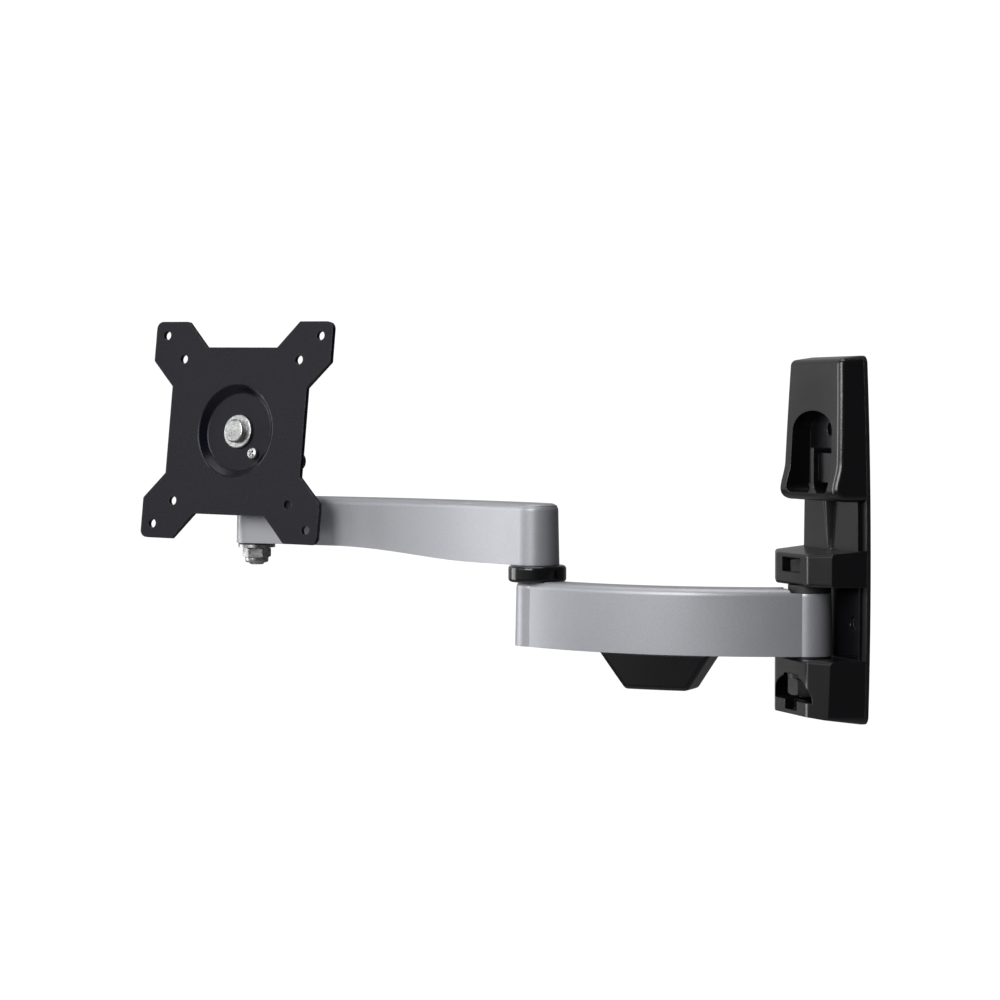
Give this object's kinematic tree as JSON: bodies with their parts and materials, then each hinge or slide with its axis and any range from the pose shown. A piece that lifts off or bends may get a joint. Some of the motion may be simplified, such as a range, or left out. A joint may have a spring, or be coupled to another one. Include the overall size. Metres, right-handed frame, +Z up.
{
  "type": "full motion tv wall mount",
  "caption": "Wall bracket with two swinging arms and a swivelling, tilting, turning screen plate with a square hole pattern.",
  "frame": {"origin": "middle of the wall plate's back face", "axes": "+Z up, +Y into the wall, the room at -Y, +X to the right of someone facing the wall"},
  "size_m": [0.3319, 0.2617, 0.1901],
  "materials": {
    "gloss_black_housing": "moulded gloss black",
    "gloss_black_trim": "moulded gloss black",
    "silver_paint": "satin silver paint on die castings",
    "charcoal_powder": "fine textured charcoal powder coat on steel",
    "wall_plate_paint": "black painted steel",
    "bright_zinc": "bright zinc plated steel",
    "black_oxide": "black oxide steel",
    "acetal": "self-lubricating black acetal"
  },
  "bodies": {
    "wall_bracket": {"wall_plate": "wall_plate_paint", "wall_housing": "gloss_black_housing", "housing_screws": "bright_zinc", "wall_pivot_bolt": "black_oxide", "wall_pivot_washer": "black_oxide", "wall_pivot_nut": "black_oxide"},
    "lower_arm": {"lower_arm": "silver_paint", "upper_wall_bush": "acetal", "lower_wall_bush": "acetal", "upper_elbow_bush": "acetal", "lower_elbow_bush": "acetal", "elbow_collar": "gloss_black_trim", "cable_clip": "gloss_black_trim"},
    "upper_arm": {"upper_arm": "silver_paint", "elbow_bolt": "bright_zinc", "elbow_washer": "bright_zinc", "upper_head_bush": "acetal", "lower_head_bush": "acetal"},
    "swivel_head": {"swivel_bracket": "charcoal_powder", "swivel_bolt": "bright_zinc", "swivel_washer": "bright_zinc", "swivel_nut": "bright_zinc", "tilt_bolt": "black_oxide", "tilt_nut": "black_oxide", "tilt_washers": "black_oxide"},
    "tilt_head": {"friction_washers": "acetal", "tilt_carrier": "charcoal_powder", "roll_washer": "acetal", "roll_bolt": "bright_zinc", "roll_nut": "bright_zinc", "roll_nut_washer": "bright_zinc"},
    "screen_plate": {"screen_plate": "charcoal_powder", "lock_screw": "bright_zinc"}
  },
  "joints": [
    {"name": "wall_swing", "type": "hinge", "parent": "wall_bracket", "child": "lower_arm", "pos_m": [0, -0.015, -0.0228], "axis": [0, 0, 1], "range_deg": [-45.8, 104.2]},
    {"name": "elbow_swing", "type": "hinge", "parent": "lower_arm", "child": "upper_arm", "pos_m": [-0.09523, -0.11293, -0.0152], "axis": [0, 0, 1], "range_deg": [-128.6, 161.4]},
    {"name": "head_swivel", "type": "hinge", "parent": "upper_arm", "child": "swivel_head", "pos_m": [-0.26155, -0.20664, 0.0144], "axis": [0, 0, 1], "range_deg": [-178.1, 1.9]},
    {"name": "screen_tilt", "type": "hinge", "parent": "swivel_head", "child": "tilt_head", "pos_m": [-0.26155, -0.20664, 0.0326], "axis": [0.7934, 0.6088, 0], "range_deg": [-8.2, 11.8]},
    {"name": "screen_turn", "type": "hinge", "parent": "tilt_head", "child": "screen_plate", "pos_m": [-0.25243, -0.21853, 0.04798], "axis": [0.6045, -0.7878, 0.1184], "range_deg": [-90, 90]}
  ]
}
